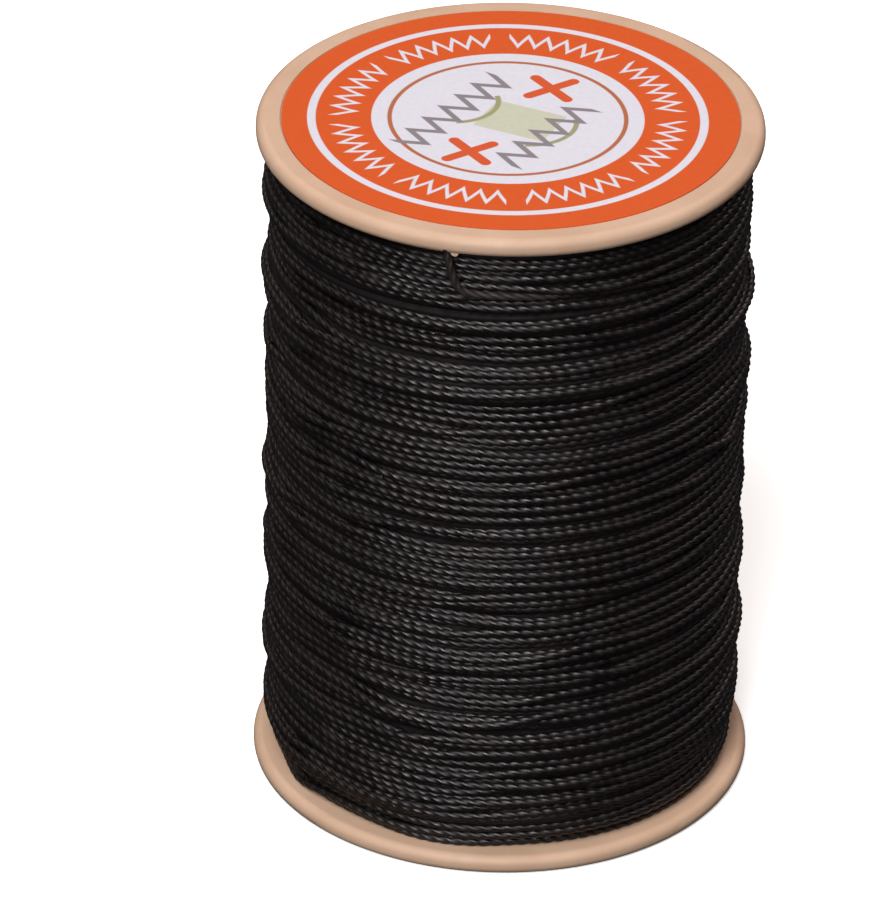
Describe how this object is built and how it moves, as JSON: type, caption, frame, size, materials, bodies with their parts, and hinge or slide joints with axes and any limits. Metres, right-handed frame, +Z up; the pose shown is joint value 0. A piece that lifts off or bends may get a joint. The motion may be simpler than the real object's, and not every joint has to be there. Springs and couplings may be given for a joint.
{
  "type": "thread spool",
  "caption": "Round flanged spool with a hollow core, filled with dark waxed sewing thread whose loose end is tucked into a slit in the upper rim, with a printed paper label on top.",
  "frame": {"origin": "centre of the face the spool stands on", "axes": "+Z up along the spool's axis, towards the labelled end; the thread's tucked end is near -Y"},
  "size_m": [0.028, 0.028, 0.0404],
  "materials": {
    "flange_plastic": "satin moulded ABS, flesh beige",
    "core_plastic": "plain extruded tube",
    "buried_waxed_thread": "waxed three-ply polyester",
    "waxed_thread": "waxed three-ply polyester, soft sheen",
    "label_paper": "coated paper, printed orange and white"
  },
  "bodies": {
    "root": {"bottom_flange": "flange_plastic", "top_flange": "flange_plastic", "core_tube": "core_plastic", "buried_thread": "buried_waxed_thread", "outer_winding": "waxed_thread", "thread_end": "waxed_thread", "top_label": "label_paper"}
  },
  "joints": []
}
